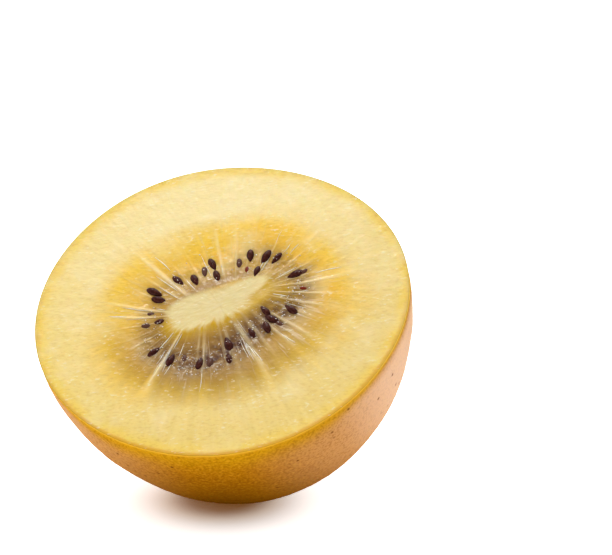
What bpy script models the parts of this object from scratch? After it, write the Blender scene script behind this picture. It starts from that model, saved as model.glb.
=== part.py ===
"""Half of a golden kiwi fruit, cut straight across, at rest on its skin with the cut face tipped up.

Run with: blender --background --python part.py
Units are metres and +Z is up. The fruit is modelled in its own frame, with the origin in the middle
of the cut face, +Z out of the cut and +X near the oval's long axis. lay_down() then turns it into the
pose in which such a half balances, and puts the world origin in the middle of the flat spot below.
"""

import math
import random

import bmesh
import bpy
from mathutils import Matrix, Vector

# Driving dimensions.
LONG_RADIUS = 0.0285  # half the longer width of the oval cut
SHORT_RADIUS = 0.0264  # half the shorter width of the oval cut
HALF_LENGTH = 0.0350  # from the cut to the stem end
GIRTH_POWER = 2.1  # 2 is an ellipse lengthways, more is a blunter stem end
LOBES = ((3, 0.004, 0.51), (4, 0.005, 0.34))  # waves round the girth: count, share of radius, turn

# The pale core, an oval of its own that lies aslant in the cut.
CORE_LONG = 0.0082
CORE_SHORT = 0.0032
CORE_TURN = math.radians(23)
CORE_MIDDLE = Vector((-0.0001, 0.0006, 0))
CORE_RISE = 0.0003  # how far its middle swells out of the cut

# The seed chambers: one each side of every ray of pale tissue that leaves the core.
RAYS = 36
RAY_HEIGHT = 0.00012
RAY_REACH = 0.55  # share of the way from the core to the skin
CHAMBER_SINK = 0.00022
RIM_ROUND = 0.00025  # drop of the cut's last edge into the skin

# Seeds, half sunk in the chambers, with their points towards the core.
SEED_LENGTH = 0.0026
SEED_WIDTH = 0.0014
SEED_THICKNESS = 0.0011
SEED_REACH = 0.188  # mean share of the way from the core to the skin
# Waves of the seed ring round the core: count, share of the way to the skin, turn.
SEED_RING_WAVES = ((1, 0.032, -1.30), (2, 0.023, 1.11), (3, 0.047, 0.29))
# Seeds that show in each chamber, counted anticlockwise from the oval's long axis.
SEEDS_SHOWN = "102001221021110201020010111120113010"
SEED_STEP = 0.09  # from seed to seed in one chamber, as a share of the way to the skin
SEED_REACH_SPREAD = 0.027
LEAST_SEED_REACH = 0.04
SEED_ANGLE_SPREAD = math.radians(2.6)
SEED_TURN_SPREAD = math.radians(9)
SEED_DRAW = 1251835

# Stem end: a shallow dimple with the woody scar of the stalk in it.
DIMPLE_DEPTH = 0.0012
DIMPLE_RADIUS = 0.0050
SCAR_RADIUS = 0.0023
SCAR_HEIGHT = 0.0006
SCAR_SUNK = 0.0012
SCAR_RING = 0.00075  # width of its raised ring
SCAR_HOLLOW = 0.00035

# Resting pose.
TILT = math.radians(37.4)  # of the fruit's length from upright
YAW = math.radians(-18.0)
SPIN = math.radians(10.3)
FLAT_SINK = 0.0006  # how much of the round side the flat spot takes away
FINER_BELOW = 0.0026  # the round side gets a finer mesh up to here above its lowest point

SPOKES = 4 * RAYS
DOME_RINGS = 13
CORE_RINGS = 2
# Shares of the way from the core to the skin where the cut face has a ring of points.
FACE_RINGS = (0.04, 0.10, 0.18, 0.27, 0.38, RAY_REACH, 0.75, 0.93, 0.985)
CORE_SHARE = 0.2  # the core's part of the unit radius before shaping


def oval_radius(angle):
    """Distance from the fruit's middle line to the skin at the cut, in this direction."""
    radius = math.hypot(math.cos(angle) / LONG_RADIUS, math.sin(angle) / SHORT_RADIUS) ** -1
    for count, share, turn in LOBES:
        radius *= 1 + share * math.cos(count * (angle - turn))
    return radius


def skin_point(angle):
    """Point of the cut's outline in this direction."""
    radius = oval_radius(angle)
    return Vector((radius * math.cos(angle), radius * math.sin(angle), 0))


def core_point(angle):
    """Point of the core's outline from which the ray of this direction leaves."""
    own = angle - CORE_TURN
    outline = Vector((CORE_LONG * math.cos(own), CORE_SHORT * math.sin(own), 0))
    return CORE_MIDDLE + Matrix.Rotation(CORE_TURN, 3, "Z") @ outline


def ray_point(angle, reach):
    """Point of the cut on a ray, at a share of the way from the core's edge to the skin."""
    return core_point(angle).lerp(skin_point(angle), reach)


def girth(depth):
    """Share of the cut's width that the fruit still has at this depth below the cut."""
    return max(0.0, 1 - (depth / HALF_LENGTH) ** 2) ** (1 / GIRTH_POWER)


def swell(reach, low, high):
    """A smooth hump from 0 at low through 1 half way to 0 at high."""
    if not low < reach < high:
        return 0.0
    return math.sin(math.pi * (reach - low) / (high - low)) ** 2


def face_height(angle, reach):
    """Relief of the cut face outside the core: rays up, chambers down, the last edge rounded."""
    hump = swell(reach, -0.12, RAY_REACH)
    ray = math.cos(RAYS * angle)
    height = RAY_HEIGHT * hump * max(0.0, ray) - CHAMBER_SINK * hump * max(0.0, -ray)
    if reach > FACE_RINGS[-1]:
        height -= RIM_ROUND
    return height


def half_profile():
    """Outline to turn: unit radius and height from the core's middle over the cut to the stem end.

    Face points carry height 0 and a coded radius, which shape_vertex() reads.
    """
    face = [CORE_SHARE * ring / CORE_RINGS for ring in range(CORE_RINGS + 1)]
    face += [CORE_SHARE + (1 - CORE_SHARE) * reach for reach in FACE_RINGS]
    outline = [Vector((radius, 0, 0)) for radius in face]
    for ring in range(DOME_RINGS + 1):
        depth = HALF_LENGTH * math.sin(0.5 * math.pi * ring / DOME_RINGS)
        outline.append(Vector((girth(depth), 0, -max(depth, RIM_ROUND))))
    return outline


def shape_vertex(point):
    """Where a point of the turned unit shape lies on the fruit."""
    radius, angle = math.hypot(point.x, point.y), math.atan2(point.y, point.x)
    if point.z < 0:
        reach = radius * oval_radius(angle)
        dimple = DIMPLE_DEPTH * math.exp(-((reach / DIMPLE_RADIUS) ** 2))
        below = dimple if -point.z > 0.5 * HALF_LENGTH else 0
        return Vector((reach * math.cos(angle), reach * math.sin(angle), point.z + below))
    if radius <= CORE_SHARE + 1e-6:
        share = radius / CORE_SHARE
        edge = core_point(angle)
        rise = CORE_RISE * (1 - share**2) + face_height(angle, 0) * share
        return CORE_MIDDLE.lerp(edge, share) + Vector((0, 0, rise))
    reach = (radius - CORE_SHARE) / (1 - CORE_SHARE)
    return ray_point(angle, reach) + Vector((0, 0, face_height(angle, reach)))


def fruit_body():
    """The half fruit without its seeds and stem scar, in its own frame."""
    shape = bmesh.new()
    points = [shape.verts.new(point) for point in half_profile()]
    edges = [shape.edges.new(pair) for pair in zip(points, points[1:])]
    bmesh.ops.spin(
        shape,
        geom=points + edges,
        cent=(0, 0, 0),
        axis=(0, 0, 1),
        angle=2 * math.pi,
        steps=SPOKES,
        use_merge=True,
    )
    bmesh.ops.remove_doubles(shape, verts=shape.verts[:], dist=1e-6)
    for vertex in shape.verts:
        vertex.co = shape_vertex(vertex.co)
    bmesh.ops.recalc_face_normals(shape, faces=shape.faces[:])
    return shape


def seed_places():
    """Yields (angle, reach, turn) of each seed that shows at the cut."""
    draw = random.Random(SEED_DRAW)
    for chamber, shown in enumerate(int(digit) for digit in SEEDS_SHOWN):
        for number in range(shown):
            angle = 2 * math.pi * (chamber + 0.5) / RAYS + draw.gauss(0, SEED_ANGLE_SPREAD)
            reach = SEED_REACH + SEED_STEP * (number - 0.5 * (shown - 1))
            reach += sum(share * math.cos(count * (angle - turn)) for count, share, turn in SEED_RING_WAVES)
            reach += draw.gauss(0, SEED_REACH_SPREAD)
            yield angle, max(LEAST_SEED_REACH, reach), draw.gauss(0, SEED_TURN_SPREAD)


def seed_shape(angle, reach, turn):
    """One seed: a flattened drop along its ray, sunk to its middle in the cut."""
    middle = ray_point(angle, reach)
    along = ray_point(angle, reach + 0.1) - middle
    heading = math.atan2(along.y, along.x) + turn
    shape = bmesh.new()
    bmesh.ops.create_icosphere(shape, subdivisions=2, radius=0.5)
    for vertex in shape.verts:
        taper = 1 + 0.5 * vertex.co.x  # narrower at the end that points to the core
        vertex.co.y *= taper
        vertex.co.z *= taper
    place = Matrix.Translation(middle) @ Matrix.Rotation(heading, 4, "Z")
    size = Matrix.Diagonal((SEED_LENGTH, SEED_WIDTH, SEED_THICKNESS, 1))
    bmesh.ops.transform(shape, matrix=place @ size, verts=shape.verts[:])
    return shape


def stem_scar():
    """The round woody scar where the stalk broke off: a low button with a raised ring."""
    outline = [
        (0, SCAR_SUNK),
        (SCAR_RADIUS, SCAR_SUNK),
        (SCAR_RADIUS, 0),
        (SCAR_RADIUS - 0.3 * SCAR_RING, -SCAR_HEIGHT),
        (SCAR_RADIUS - SCAR_RING, -SCAR_HEIGHT),
        (SCAR_RADIUS - 1.4 * SCAR_RING, -SCAR_HEIGHT + SCAR_HOLLOW),
        (0, -SCAR_HEIGHT + 1.3 * SCAR_HOLLOW),
    ]
    shape = bmesh.new()
    points = [shape.verts.new((radius, 0, height)) for radius, height in outline]
    edges = [shape.edges.new(pair) for pair in zip(points, points[1:])]
    bmesh.ops.spin(
        shape,
        geom=points + edges,
        cent=(0, 0, 0),
        axis=(0, 0, 1),
        angle=2 * math.pi,
        steps=20,
        use_merge=True,
    )
    bmesh.ops.remove_doubles(shape, verts=shape.verts[:], dist=1e-6)
    bmesh.ops.recalc_face_normals(shape, faces=shape.faces[:])
    stem_end = Vector((0, 0, DIMPLE_DEPTH - HALF_LENGTH))
    bmesh.ops.translate(shape, vec=stem_end, verts=shape.verts[:])
    return shape


def new_object(name, shape, collection):
    """A mesh object with that name, made from a bmesh, which is freed."""
    mesh = bpy.data.meshes.new(name)
    shape.to_mesh(mesh)
    shape.free()
    thing = bpy.data.objects.new(name, mesh)
    collection.objects.link(thing)
    return thing


def join_all(body, collection):
    """Fuses every object of the collection into the body and removes the collection."""
    union = body.modifiers.new("join", "BOOLEAN")
    union.operation = "UNION"
    union.operand_type = "COLLECTION"
    union.collection = collection
    union.solver = "EXACT"
    bpy.context.view_layer.update()
    graph = bpy.context.evaluated_depsgraph_get()
    joined = bpy.data.meshes.new_from_object(body.evaluated_get(graph))
    body.modifiers.clear()
    body.data = joined
    for thing in list(collection.objects):
        bpy.data.objects.remove(thing)
    bpy.data.collections.remove(collection)


def lay_down(body):
    """Turns the fruit into its resting pose and cuts the flat spot that it rests on at z = 0."""
    turn = Matrix.Rotation(YAW, 4, "Z") @ Matrix.Rotation(TILT, 4, "X") @ Matrix.Rotation(SPIN, 4, "Z")
    shape = bmesh.new()
    shape.from_mesh(body.data)
    bmesh.ops.transform(shape, matrix=turn, verts=shape.verts[:])
    lowest = min(vertex.co.z for vertex in shape.verts)
    near_floor = [edge for edge in shape.edges if max(v.co.z for v in edge.verts) < lowest + FINER_BELOW]
    bmesh.ops.subdivide_edges(shape, edges=near_floor, cuts=1, smooth=1.0, use_grid_fill=True)
    floor = min(vertex.co.z for vertex in shape.verts) + FLAT_SINK
    cut = bmesh.ops.bisect_plane(
        shape,
        geom=shape.verts[:] + shape.edges[:] + shape.faces[:],
        plane_co=(0, 0, floor),
        plane_no=(0, 0, -1),
        clear_outer=True,
    )
    rim = [edge for edge in cut["geom_cut"] if isinstance(edge, bmesh.types.BMEdge)]
    bmesh.ops.holes_fill(shape, edges=rim, sides=0)
    outline = {vertex for edge in rim for vertex in edge.verts}
    middle = sum((vertex.co for vertex in outline), Vector()) / len(outline)
    bmesh.ops.translate(shape, vec=-middle, verts=shape.verts[:])
    for vertex in outline:
        vertex.co.z = 0
    bmesh.ops.recalc_face_normals(shape, faces=shape.faces[:])
    shape.to_mesh(body.data)
    shape.free()


def flesh_material():
    """Ripe golden flesh and skin, as one warm yellow."""
    material = bpy.data.materials.new("golden_kiwi")
    material.use_nodes = True
    shader = material.node_tree.nodes["Principled BSDF"]
    shader.inputs["Base Color"].default_value = (0.80, 0.52, 0.10, 1)
    shader.inputs["Roughness"].default_value = 0.45
    shader.inputs["Metallic"].default_value = 0.0
    return material


def main():
    """Clears the scene and builds the half fruit as one solid."""
    for thing in list(bpy.data.objects):
        bpy.data.objects.remove(thing)
    scene = bpy.context.scene.collection
    body = new_object("kiwi_half", fruit_body(), scene)
    grown_on = bpy.data.collections.new("grown_on")
    scene.children.link(grown_on)
    for number, (angle, reach, turn) in enumerate(seed_places()):
        new_object(f"seed_{number}", seed_shape(angle, reach, turn), grown_on)
    new_object("stem_scar", stem_scar(), grown_on)
    join_all(body, grown_on)
    lay_down(body)
    body.data.materials.clear()
    body.data.materials.append(flesh_material())
    body.data.shade_smooth()
    body.data.set_sharp_from_angle(angle=math.radians(40))


main()
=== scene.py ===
"""Half of a golden kiwi fruit, cut straight across and resting on its skin, in fine detail.

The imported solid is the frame. The pieces made here stand for it: the skin, the flesh with its cut face, the
seeds, the pale fibres and juice on the cut, and the stem scar. They are shaped in the fruit's own frame, with
the origin in the middle of the cut, +Z out of the cut and +X near the cut's long axis, and are then laid down
as the solid lies. Lengths are in metres.
"""

import logging
import math
import random
from collections.abc import Iterable, Iterator
from dataclasses import dataclass
from enum import Enum
from typing import ClassVar

import bmesh
import bpy
from mathutils import Matrix, Vector, noise

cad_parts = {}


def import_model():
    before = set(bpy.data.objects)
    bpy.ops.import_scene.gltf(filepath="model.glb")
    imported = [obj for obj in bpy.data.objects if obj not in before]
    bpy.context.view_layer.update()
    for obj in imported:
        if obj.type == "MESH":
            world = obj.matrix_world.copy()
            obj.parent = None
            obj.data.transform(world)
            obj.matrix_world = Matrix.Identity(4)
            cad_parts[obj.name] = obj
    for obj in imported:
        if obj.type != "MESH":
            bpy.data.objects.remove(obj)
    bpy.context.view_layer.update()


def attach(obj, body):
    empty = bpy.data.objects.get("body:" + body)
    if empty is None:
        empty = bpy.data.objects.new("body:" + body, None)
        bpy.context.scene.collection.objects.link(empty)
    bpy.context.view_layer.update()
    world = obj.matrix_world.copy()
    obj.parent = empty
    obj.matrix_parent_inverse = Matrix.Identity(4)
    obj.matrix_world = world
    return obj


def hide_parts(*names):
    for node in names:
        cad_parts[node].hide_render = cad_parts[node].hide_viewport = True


MM = 0.001
LOG = logging.getLogger("kiwi")

# Waves round the fruit: (count in a full turn, height, turn of the first crest in radians).
Waves = tuple[tuple[int, float, float], ...]

# Places along a colour ramp, with the hex colour at each.
Tones = tuple[tuple[float, str], ...]

Shape = bmesh.types.BMesh
Socket = bpy.types.NodeSocket
Tree = bpy.types.NodeTree


def ripple(waves: Waves, angle: float) -> float:
    """Sum of waves at one angle, in radians round the fruit's middle line."""
    return sum(height * math.cos(count * (angle - turn)) for count, height, turn in waves)


def ease(value: float, low: float, high: float) -> float:
    """Smooth step: 0 up to low, 1 from high on, and a soft S between them."""
    share = min(1.0, max(0.0, (value - low) / (high - low)))
    return share * share * (3 - 2 * share)


def swell(value: float, low: float, high: float) -> float:
    """Smooth hump: 0 up to low, 1 half way, and 0 again from high on."""
    if not low < value < high:
        return 0.0
    return math.sin(math.pi * (value - low) / (high - low)) ** 2


def band(value: float, rise: tuple[float, float], fall: tuple[float, float]) -> float:
    """Smooth plateau: from 0 up to 1 over the first span, and down to 0 again over the second."""
    return ease(value, *rise) * (1 - ease(value, *fall))


def bell(distance: float, width: float) -> float:
    """Bell curve of height 1 that has fallen to about a third at one width."""
    return math.exp(-((distance / width) ** 2))


def facing(angle: float, side: float) -> float:
    """1 in the direction of a side, falling evenly to 0 in the direction opposite."""
    return 0.5 + 0.5 * math.cos(angle - side)


def toward(angle: float, side: float) -> float:
    """1 in the direction of a side, falling to 0 a quarter turn away and beyond."""
    return max(0.0, math.cos(angle - side))


def unevenness(point: Vector, grain: float, octaves: int = 3) -> float:
    """Fractal noise at a point.

    Args:
        point: where to read it, in metres.
        grain: typical size of its lumps, in metres.
        octaves: how many finer layers it has.

    Returns:
        A value of about -1 to 1.
    """
    return noise.fractal(point / grain, 1.0, 2.0, octaves)


@dataclass(frozen=True)
class FruitForm:
    """Shape of the half fruit, and how it lies."""

    # The cut's oval, the depth below it, and how full the fruit's outline is, from 2 for an ellipse upwards.
    long_radius: float = 28.5 * MM
    short_radius: float = 26.4 * MM
    half_length: float = 35.0 * MM
    girth_power: float = 2.1
    lobes: Waves = ((3, 0.004, 0.51), (4, 0.005, 0.34))
    skin_thickness: float = 0.25 * MM

    core_long: float = 8.2 * MM
    core_short: float = 3.2 * MM
    core_turn: float = math.radians(23)
    core_middle: Vector = Vector((-0.1 * MM, 0.6 * MM, 0))

    # The hollow round the stem scar.
    dimple_depth: float = 1.2 * MM
    dimple_radius: float = 5.0 * MM

    # How it lies: the cut's tilt, the turn about the vertical after it, the turn about the fruit's middle
    # line before it, and the place of the cut's middle.
    tilt: float = math.radians(37.4)
    yaw: float = math.radians(-18.0)
    spin: float = math.radians(10.3)
    cut_middle: Vector = Vector((-2.29 * MM, -7.73 * MM, 31.85 * MM))

    def skin_radius(self, angle: float) -> float:
        """Distance from the middle line to the skin at the cut.

        Args:
            angle: direction round the middle line, in radians.

        Returns:
            The distance, in metres.
        """
        oval = math.hypot(math.cos(angle) / self.long_radius, math.sin(angle) / self.short_radius)
        share = 1.0
        for count, height, turn in self.lobes:
            share *= 1 + height * math.cos(count * (angle - turn))
        return share / oval

    def skin_point(self, angle: float) -> Vector:
        """Point of the cut's outline in this direction."""
        radius = self.skin_radius(angle)
        return Vector((radius * math.cos(angle), radius * math.sin(angle), 0))

    def core_point(self, angle: float, share: float = 1.0) -> Vector:
        """Point of the core's oval from which the ray of this direction leaves.

        Args:
            angle: direction of the ray.
            share: share of the way there from the core's middle.

        Returns:
            The point, in the plane of the cut.
        """
        own = angle - self.core_turn
        outline = Vector((self.core_long * math.cos(own), self.core_short * math.sin(own), 0))
        return self.core_middle + Matrix.Rotation(self.core_turn, 3, "Z") @ (share * outline)

    def ray_point(self, angle: float, reach: float) -> Vector:
        """Point of the cut on a ray, at a share of the way from the core to the skin."""
        return self.core_point(angle).lerp(self.skin_point(angle), reach)

    def ray_heading(self, angle: float) -> float:
        """Direction in which the ray of this angle runs outwards."""
        along = self.skin_point(angle) - self.core_point(angle)
        return math.atan2(along.y, along.x)

    def girth(self, depth: float) -> float:
        """Share of the cut's width that the fruit still has at this depth below the cut."""
        return max(0.0, 1 - (depth / self.half_length) ** 2) ** (1 / self.girth_power)

    def dimple(self, reach: float) -> float:
        """How far the stem end is drawn in at this distance from the middle line."""
        return self.dimple_depth * bell(reach, self.dimple_radius)

    def under_skin(self, angle: float, girth: float, depth: float, inset: float = 0.0) -> Vector:
        """Point of the fruit's outside, or of a surface that follows it inside.

        Args:
            angle: direction round the middle line.
            girth: share of the cut's width that the fruit has at this depth.
            depth: depth below the cut on the outside.
            inset: how far inside the point lies, in thicknesses of the skin.

        Returns:
            The point, in the fruit's own frame.
        """
        inset *= self.skin_thickness
        radius = girth * self.skin_radius(angle)
        drawn_in = self.dimple(radius) * ease(depth, 0.5 * self.half_length, 0.9 * self.half_length)
        height = (drawn_in - depth) * (1 - inset / self.half_length)
        radius = max(0.0, radius - inset)
        return Vector((radius * math.cos(angle), radius * math.sin(angle), height))

    def lying(self) -> Matrix:
        """Matrix that lays the fruit's own frame down in the pose of the solid."""
        turn = Matrix.Rotation(self.yaw, 4, "Z") @ Matrix.Rotation(self.tilt, 4, "X")
        return Matrix.Translation(self.cut_middle) @ turn @ Matrix.Rotation(self.spin, 4, "Z")


class SeedLook(Enum):
    """How a seed shows at the cut: bare, veiled by gel, or small and unripe."""

    BARE = "b"
    VEILED = "v"
    UNRIPE = "u"


@dataclass(frozen=True)
class Seed:
    """Place and look of one seed."""

    angle: float
    reach: float
    turn: float
    look: SeedLook


@dataclass(frozen=True)
class SeedRing:
    """The seeds that show at the cut, in the chambers between the pale rays."""

    form: FruitForm
    chambers: int = 36
    length: float = 2.6 * MM
    width: float = 1.24 * MM
    thickness: float = 1.1 * MM
    reach: float = 0.188
    waves: Waves = ((1, 0.032, -1.30), (2, 0.023, 1.11), (3, 0.047, 0.29))

    # How many seeds show in each chamber, in turn.
    shown: str = "102001221021110201020010111120113010"
    step: float = 0.09
    reach_spread: float = 0.027
    least_reach: float = 0.04
    angle_spread: float = math.radians(2.6)
    turn_spread: float = math.radians(9)
    draw: int = 1251835

    # The look of each seed, in turn.
    looks: str = "ubvbbbubvbbvbbbbvbvbbvbvbbbbbbvb"

    def seeds(self) -> list[Seed]:
        """Every seed, placed by the same rule as on the solid."""
        draw = random.Random(self.draw)
        found = []
        for chamber, shown in enumerate(int(digit) for digit in self.shown):
            for number in range(shown):
                angle = 2 * math.pi * (chamber + 0.5) / self.chambers + draw.gauss(0, self.angle_spread)
                reach = self.reach + self.step * (number - 0.5 * (shown - 1)) + ripple(self.waves, angle)
                reach = max(self.least_reach, reach + draw.gauss(0, self.reach_spread))
                turn = draw.gauss(0, self.turn_spread)
                found.append(Seed(angle, reach, turn, SeedLook(self.looks[len(found)])))
        return found

    def place(self, seed: Seed) -> Matrix:
        """Places a seed.

        Args:
            seed: the seed.

        Returns:
            Matrix from the seed's own frame, +X outwards along its length, to the fruit's.
        """
        middle = self.form.ray_point(seed.angle, seed.reach)
        heading = self.form.ray_heading(seed.angle) + seed.turn
        return Matrix.Translation(middle) @ Matrix.Rotation(heading, 4, "Z")


def linear(colour: str) -> tuple[float, float, float, float]:
    """Turns an sRGB hex colour into the linear one that shaders take.

    Args:
        colour: six hex digits.

    Returns:
        Linear red, green, blue, and an alpha of 1.
    """
    parts = [int(colour[place : place + 2], 16) / 255 for place in (0, 2, 4)]
    red, green, blue = (p / 12.92 if p <= 0.04045 else ((p + 0.055) / 1.055) ** 2.4 for p in parts)
    return red, green, blue, 1.0


def add_node(
    tree: Tree,
    kind: str,
    values: dict[int | str, object] | None = None,
    links: dict[int | str, Socket] | None = None,
    stops: Tones = (),
    **settings: object,
) -> bpy.types.Node:
    """Adds one shader node with its settings and links.

    Args:
        tree: the material's nodes.
        kind: the node's type.
        values: values of input sockets, by name or number.
        links: output sockets to join to input sockets, by name or number.
        stops: places and hex colours of a colour ramp.
        settings: properties of the node.

    Returns:
        The new node.
    """
    node = tree.nodes.new(kind)
    for name, value in settings.items():
        setattr(node, name, value)
    for number, (place, colour) in enumerate(stops):
        ramp = node.color_ramp.elements
        element = ramp[number] if number < len(ramp) else ramp.new(place)
        element.position = place
        element.color = linear(colour)
    for socket, value in (values or {}).items():
        node.inputs[socket].default_value = value
    for socket, source in (links or {}).items():
        tree.links.new(source, node.inputs[socket])
    return node


# Sockets of a Mix node that mixes colours.
FACTOR, FIRST, SECOND, RESULT = 0, 6, 7, 2


def layered(tree: Tree, base: Socket | str, layers: Iterable[tuple[Socket, Socket | str]]) -> Socket:
    """Lays colours over each other. A colour is a socket, or hex digits.

    Args:
        tree: the material's nodes.
        base: the colour at the bottom.
        layers: mask and colour of each layer, from the lowest up.

    Returns:
        The colour with every layer on it.
    """
    for mask, paint in layers:
        values, links = {}, {FACTOR: mask}
        for socket, colour in ((FIRST, base), (SECOND, paint)):
            if isinstance(colour, str):
                values[socket] = linear(colour)
            else:
                links[socket] = colour
        base = add_node(tree, "ShaderNodeMix", values, links, data_type="RGBA").outputs[RESULT]
    return base


@dataclass(frozen=True)
class Finish:
    """A material with one shader: its constants, and the patterns that each finish adds."""

    name: ClassVar[str]
    constants: ClassVar[dict[str, object]]

    # Masks that a piece's mesh carries for this finish.
    reads: ClassVar[tuple[str, ...]] = ()

    def material(self) -> bpy.types.Material:
        """Builds the material."""
        material = bpy.data.materials.new(self.name)
        material.use_nodes = True
        tree = material.node_tree
        shader = tree.nodes["Principled BSDF"]
        for socket, value in self.constants.items():
            shader.inputs[socket].default_value = value
        place = add_node(tree, "ShaderNodeTexCoord").outputs["Object"]
        masks = {
            name: add_node(tree, "ShaderNodeAttribute", attribute_name=name).outputs["Fac"]
            for name in self.reads
        }
        for socket, source in self.patterns(tree, place, masks).items():
            tree.links.new(source, shader.inputs[socket])
        return material

    def patterns(self, tree: Tree, place: Socket, masks: dict[str, Socket]) -> dict[str, Socket]:
        """Adds the patterns.

        Args:
            tree: the material's nodes.
            place: the surface's place, in metres.
            masks: the masks that the mesh carries, by name.

        Returns:
            The sockets to join to the shader, by the name of its input.
        """
        raise NotImplementedError


# The mesh attribute that holds each point's place in the space where a ray is nearly a point.
RAY_SPACE = "ray_space"


@dataclass(frozen=True)
class FleshFinish(Finish):
    """Ripe golden kiwi flesh, freshly cut with a knife: moist, translucent and a little grainy.

    Light sinks in and softens it, so it glows from inside. Fine cells and threads break its gold, and the wet
    surface gives it a low, broad shine. Light is also painted into its colour: pale specks are painted glints
    of the wet cells, and a painted sheen lightens the outer flesh, most on its upper side.
    """

    name: ClassVar[str] = "golden_kiwi_flesh_cut"
    constants: ClassVar[dict[str, object]] = {
        "Roughness": 0.30,
        "IOR": 1.37,
        "Specular IOR Level": 0.12,
        "Subsurface Weight": 0.55,
        "Subsurface Radius": (1.0, 0.66, 0.26),
        "Subsurface Scale": 0.6 * MM,
        "Coat Weight": 0.06,
        "Coat Roughness": 0.08,
    }
    reads: ClassVar[tuple[str, ...]] = ("tone", "core", "rays", "gel", "deep", "painted_sheen", "wet", "rim")

    # From the core's edge to the skin: share of the way, and the colour there.
    tones: Tones = (
        (0.00, "CFA52C"),
        (0.08, "C49A40"),
        (0.18, "CCA248"),
        (0.28, "EFBF48"),
        (0.46, "F3CA4C"),
        (0.56, "EECB64"),
        (0.67, "EED27C"),
        (0.86, "EDD074"),
        (0.95, "F0CF60"),
        (0.98, "F0CC60"),
        (1.00, "EBC562"),
    )
    pale: str = "F4E0A6"
    shade: str = "D2A444"
    # Painted sheen on the outer flesh, strongest on its upper side.
    painted_sheen: str = "F8EBC0"
    rim: str = "E0A42C"
    deep: str = "9C7434"
    core: str = "E6D49C"
    core_fibre: str = "DEC584"
    gel: str = "563832"
    ray: str = "F9E6B6"
    thread: str = "F3DEBC"
    # Painted glints: pale specks for the sparkle of the wet cells.
    glint_paint: str = "FFF8DC"

    # Sizes of the noises: soft clouds, patches that gather the painted glints, and the flesh's cells, which
    # are drawn about twice as coarse as they are, so that they show.
    cloud: float = 4.5 * MM
    patch: float = 2.6 * MM
    cell: float = 0.36 * MM

    # The strands' noise, per unit of the ray space. The knife drew the cells out sideways.
    strand_scale: float = 2.4
    drawn_out: tuple[float, float, float] = (0.4, 1.0, 1.0)
    cell_relief: float = 0.1 * MM
    strand_relief: float = 0.12 * MM

    def patterns(self, tree: Tree, place: Socket, masks: dict[str, Socket]) -> dict[str, Socket]:
        """Adds the flesh's noises, and its colour and relief from them and the masks.

        Args:
            tree: the material's nodes.
            place: the surface's place, in metres.
            masks: the masks that the mesh carries, by name.

        Returns:
            The sockets to join to the shader, by the name of its input.
        """
        along = add_node(tree, "ShaderNodeAttribute", attribute_name=RAY_SPACE).outputs["Vector"]
        drawn = add_node(tree, "ShaderNodeMapping", {"Scale": self.drawn_out}, {"Vector": place}).outputs[0]
        noises = {}
        for name, scale, detail, where in (
            ("strands", self.strand_scale, 4.0, along),
            ("clouds", 1 / self.cloud, 4.0, place),
            ("patches", 1 / self.patch, 2.0, place),
            ("cells", 1 / self.cell, 2.0, drawn),
        ):
            values = {"Scale": scale, "Detail": detail}
            noises[name] = add_node(tree, "ShaderNodeTexNoise", values, {"Vector": where}).outputs["Fac"]
        relief = self.relief(tree, noises, masks["core"])
        return {"Base Color": self.colour(tree, noises, masks), "Normal": relief}

    def swayed(self, tree: Tree, value: Socket, swaying: Socket, sway: float) -> Socket:
        """Adds a noise of mean 0.5 to a mask, so that its edge wavers, and takes the mean off again.

        Args:
            tree: the material's nodes.
            value: the mask.
            swaying: the noise.
            sway: how much of the noise is added.

        Returns:
            The wavering mask.
        """
        lowered = add_node(tree, "ShaderNodeMath", {1: -0.5 * sway}, {0: value}, operation="ADD").outputs[0]
        links = {0: swaying, 2: lowered}
        return add_node(tree, "ShaderNodeMath", {1: sway}, links, operation="MULTIPLY_ADD").outputs[0]

    def colour(self, tree: Tree, noises: dict[str, Socket], masks: dict[str, Socket]) -> Socket:
        """Lays the flesh's colours over each other, from its ground tone to the painted glints.

        Args:
            tree: the material's nodes.
            noises: the flesh's noises, by name.
            masks: the masks of the mesh, by name.

        Returns:
            The socket with the finished colour.
        """
        strands, cells = noises["strands"], noises["cells"]
        tone = self.swayed(tree, masks["tone"], strands, 0.16)
        core = self.swayed(tree, masks["core"], strands, 1.7)

        # Soft steps: what is read, where the step starts and ends, and what it rises to.
        steps = {}
        for name, value, low, high, top in (
            ("shades", cells, 0.46, 0.34, 0.3),
            ("clouds", noises["clouds"], 0.42, 0.75, 0.45),
            ("threads", strands, 0.56, 0.68, 0.45),
            ("core", core, -0.9, 1.0, 1.0),
            ("core_fibres", strands, 0.35, 0.75, 0.7),
            ("painted_glints", cells, 0.57, 0.74, 0.5),
            ("patches", noises["patches"], 0.36, 0.66, 1.0),
        ):
            limits = {"From Min": low, "From Max": high, "To Max": top}
            steps[name] = add_node(
                tree, "ShaderNodeMapRange", limits, {"Value": value}, interpolation_type="SMOOTHSTEP"
            ).outputs[0]

        # A pale ray is made of threads, so it isn't a painted stripe.
        limits = {"From Min": 0.38, "From Max": 0.58, "To Min": 0.45, "To Max": 1.1}
        frayed = add_node(tree, "ShaderNodeMapRange", limits, {"Value": strands}).outputs[0]
        threads, rays, painted_glints = (
            add_node(tree, "ShaderNodeMath", {}, {0: one, 1: other}, operation="MULTIPLY").outputs[0]
            for one, other in (
                (steps["threads"], masks["wet"]),
                (masks["rays"], frayed),
                (steps["painted_glints"], steps["patches"]),
            )
        )

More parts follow.
